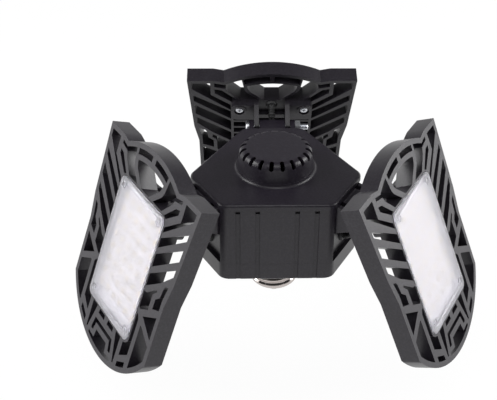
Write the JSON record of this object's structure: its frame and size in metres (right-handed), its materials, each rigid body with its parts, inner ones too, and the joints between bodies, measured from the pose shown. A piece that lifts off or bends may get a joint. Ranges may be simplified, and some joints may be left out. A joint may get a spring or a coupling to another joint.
{
  "type": "folding garage light",
  "caption": "Screw-in ceiling lamp with folding die-cast LED panels hinged round a vented hub.",
  "frame": {"origin": "on the lamp's axis at the shoulder where the screw cap meets the neck", "axes": "+Z along the lamp's axis, from the screw cap towards the vent dome; +Y towards the rear panel"},
  "size_m": [0.2203, 0.199, 0.1131],
  "materials": {
    "hub_casting": "satin charcoal powder coat",
    "panel_casting": "satin charcoal powder coat",
    "zinc_screws": "bright zinc",
    "nickel_cap": "nickel plated, rolled",
    "contact_metal": "tinned",
    "cap_insulator": "black glass-like insulator",
    "frosted_lens": "frosted white polycarbonate",
    "led_board": "white solder mask",
    "driver_board": "green solder mask",
    "winding": "enamelled copper and ferrite",
    "ferrite": "matt black",
    "capacitor_can": "sleeved can",
    "film_capacitor": "dipped",
    "lead_insulation": "matt sleeve",
    "neutral_insulation": "matt sleeve",
    "rubber": "matt black rubber"
  },
  "bodies": {
    "hub": {"front_cover": "hub_casting", "main_housing": "hub_casting", "rear_cover": "hub_casting", "cover_screws": "zinc_screws", "driver_board": "driver_board", "board_screws": "zinc_screws", "transformer": "winding", "line_choke": "ferrite", "input_capacitor": "capacitor_can", "output_capacitor": "capacitor_can", "film_capacitor": "film_capacitor", "rectifier": "ferrite", "cap_shell": "nickel_cap", "cap_insulator": "cap_insulator", "cap_contact": "contact_metal", "live_lead": "lead_insulation", "neutral_lead": "neutral_insulation", "rear_hinge_bolt": "zinc_screws", "rear_hinge_nut": "zinc_screws", "rear_hub_grommet": "rubber", "rear_cable": "rubber", "left_hinge_bolt": "zinc_screws", "left_hinge_nut": "zinc_screws", "left_hub_grommet": "rubber", "left_cable": "rubber", "right_hinge_bolt": "zinc_screws", "right_hinge_nut": "zinc_screws", "right_hub_grommet": "rubber", "right_cable": "rubber"},
    "rear_panel": {"rear_heat_sink": "panel_casting", "rear_led_board": "led_board", "rear_diffuser": "frosted_lens", "rear_hinge_bracket": "panel_casting", "rear_bracket_screws": "zinc_screws", "rear_lens_screws": "zinc_screws", "rear_panel_grommet": "rubber"},
    "left_panel": {"left_heat_sink": "panel_casting", "left_led_board": "led_board", "left_diffuser": "frosted_lens", "left_hinge_bracket": "panel_casting", "left_bracket_screws": "zinc_screws", "left_lens_screws": "zinc_screws", "left_panel_grommet": "rubber"},
    "right_panel": {"right_heat_sink": "panel_casting", "right_led_board": "led_board", "right_diffuser": "frosted_lens", "right_hinge_bracket": "panel_casting", "right_bracket_screws": "zinc_screws", "right_lens_screws": "zinc_screws", "right_panel_grommet": "rubber"}
  },
  "joints": [
    {"name": "rear_fold", "type": "hinge", "parent": "hub", "child": "rear_panel", "pos_m": [0, 0.058, 0.0435], "axis": [1, 0, 0], "range_deg": [-21, 69], "deforming": ["rear_cable"]},
    {"name": "left_fold", "type": "hinge", "parent": "hub", "child": "left_panel", "pos_m": [-0.05023, -0.029, 0.0435], "axis": [-0.5, 0.866, 0], "range_deg": [-20.8, 69.2], "deforming": ["left_cable"]},
    {"name": "right_fold", "type": "hinge", "parent": "hub", "child": "right_panel", "pos_m": [0.05023, -0.029, 0.0435], "axis": [-0.5, -0.866, 0], "range_deg": [-23.8, 66.2], "deforming": ["right_cable"]}
  ]
}
